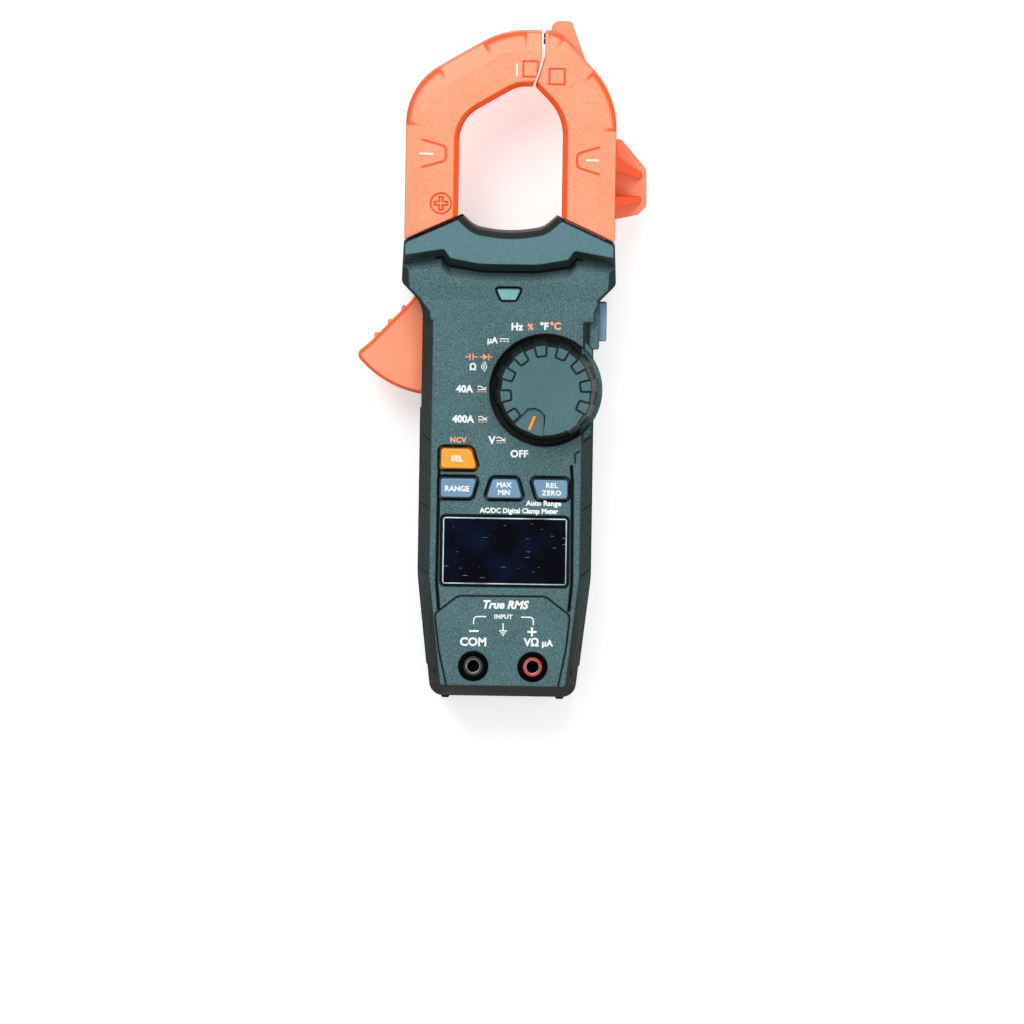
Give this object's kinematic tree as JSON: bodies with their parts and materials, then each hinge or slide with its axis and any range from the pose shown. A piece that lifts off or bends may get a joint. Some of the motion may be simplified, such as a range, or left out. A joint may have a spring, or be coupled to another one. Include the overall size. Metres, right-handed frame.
{
  "type": "clamp meter",
  "caption": "Hand-held clamp meter with a trigger-opened current jaw, rotary selector, push buttons, display window and shrouded input jacks.",
  "frame": {"origin": "on the flat back of the case, on its centre line, midway along the whole meter", "axes": "+X to the right seen from the front, +Y towards the jaws, +Z out of the front face"},
  "size_m": [0.0917, 0.2177, 0.0384],
  "materials": {
    "case_plastic": "moulded, fine spark texture",
    "grip_rubber": "soft overmould, fine texture",
    "jaw_plastic": "moulded, fine texture",
    "dial_plastic": "moulded, fine texture",
    "orange_plastic": "moulded, satin",
    "blue_grey_plastic": "moulded, satin",
    "black_plastic": "moulded",
    "red_plastic": "moulded",
    "grey_plastic": "moulded",
    "window_plastic": "polished, tinted",
    "lens_plastic": "translucent",
    "lcd_glass": "clear laminate",
    "backlight": "diffuser sheet",
    "elastomer": "moulded silicone",
    "board": "solder resist on glass laminate",
    "steel": "bright zinc plated",
    "core_steel": "stacked sheet",
    "bronze": "sintered",
    "nickel": "nickel plated brass",
    "cell_jacket": "printed sleeve"
  },
  "bodies": {
    "case": {"front_case": "case_plastic", "rear_case": "case_plastic", "grip_right": "grip_rubber", "grip_left": "grip_rubber", "fixed_jaw_front": "jaw_plastic", "fixed_jaw_rear": "jaw_plastic", "fixed_core": "core_steel", "hall_sensor": "black_plastic", "fixed_jaw_screws": "steel", "pivot_pin": "steel", "jaw_return_spring": "steel", "keypad_mat": "elastomer", "side_switch": "black_plastic", "display_window": "window_plastic", "display_holder": "black_plastic", "lcd_glass": "lcd_glass", "backlight_panel": "backlight", "elastomer_strips": "elastomer", "main_board": "board", "buzzer": "black_plastic", "measuring_chip": "black_plastic", "indicator_led": "backlight", "indicator_lens": "lens_plastic", "jack_block": "black_plastic", "com_jack_sleeve": "grey_plastic", "volt_jack_sleeve": "red_plastic", "com_jack_contact": "nickel", "volt_jack_contact": "nickel", "cell_left": "cell_jacket", "cell_middle": "cell_jacket", "cell_right": "cell_jacket", "cell_plates": "nickel", "cell_springs": "nickel", "battery_door": "case_plastic", "case_screws": "steel", "battery_door_screw": "steel"},
    "moving_jaw": {"moving_jaw_front": "jaw_plastic", "moving_jaw_rear": "jaw_plastic", "moving_core": "core_steel", "pivot_bush": "bronze", "trigger": "jaw_plastic", "moving_jaw_screws": "steel"},
    "dial": {"dial_knob": "dial_plastic", "dial_pointer": "orange_plastic", "dial_rotor": "black_plastic", "dial_wipers": "nickel"},
    "sel_key": {"sel_button": "orange_plastic"},
    "range_key": {"range_button": "blue_grey_plastic"},
    "max_min_key": {"max_min_button": "blue_grey_plastic"},
    "zero_key": {"zero_button": "blue_grey_plastic"},
    "side_key": {"side_button": "blue_grey_plastic"}
  },
  "joints": [
    {"name": "jaw_hinge", "type": "hinge", "parent": "case", "child": "moving_jaw", "pos_m": [-0.0225, 0.0252, 0.018], "axis": [0, 0, 1], "range_deg": [0, 22], "stiffness_Nm_per_rad": 0.4, "springref_deg": -28.65, "deforming": ["jaw_return_spring"]},
    {"name": "dial_turn", "type": "hinge", "parent": "case", "child": "dial", "pos_m": [0.0124, -0.009, 0.028], "axis": [0, 0, -1], "range_deg": [0, 157.5]},
    {"name": "sel_press", "type": "slide", "parent": "case", "child": "sel_key", "axis": [0, 0, -1], "range_m": [0, 0.0008], "stiffness_N_per_m": 1200, "springref_m": -0.0004},
    {"name": "range_press", "type": "slide", "parent": "case", "child": "range_key", "axis": [0, 0, -1], "range_m": [0, 0.0008], "stiffness_N_per_m": 1200, "springref_m": -0.0004},
    {"name": "max_min_press", "type": "slide", "parent": "case", "child": "max_min_key", "axis": [0, 0, -1], "range_m": [0, 0.0008], "stiffness_N_per_m": 1200, "springref_m": -0.0004},
    {"name": "zero_press", "type": "slide", "parent": "case", "child": "zero_key", "axis": [0, 0, -1], "range_m": [0, 0.0008], "stiffness_N_per_m": 1200, "springref_m": -0.0004},
    {"name": "side_press", "type": "slide", "parent": "case", "child": "side_key", "axis": [-1, 0, 0], "range_m": [0, 0.0008], "stiffness_N_per_m": 1200, "springref_m": -0.0004}
  ]
}
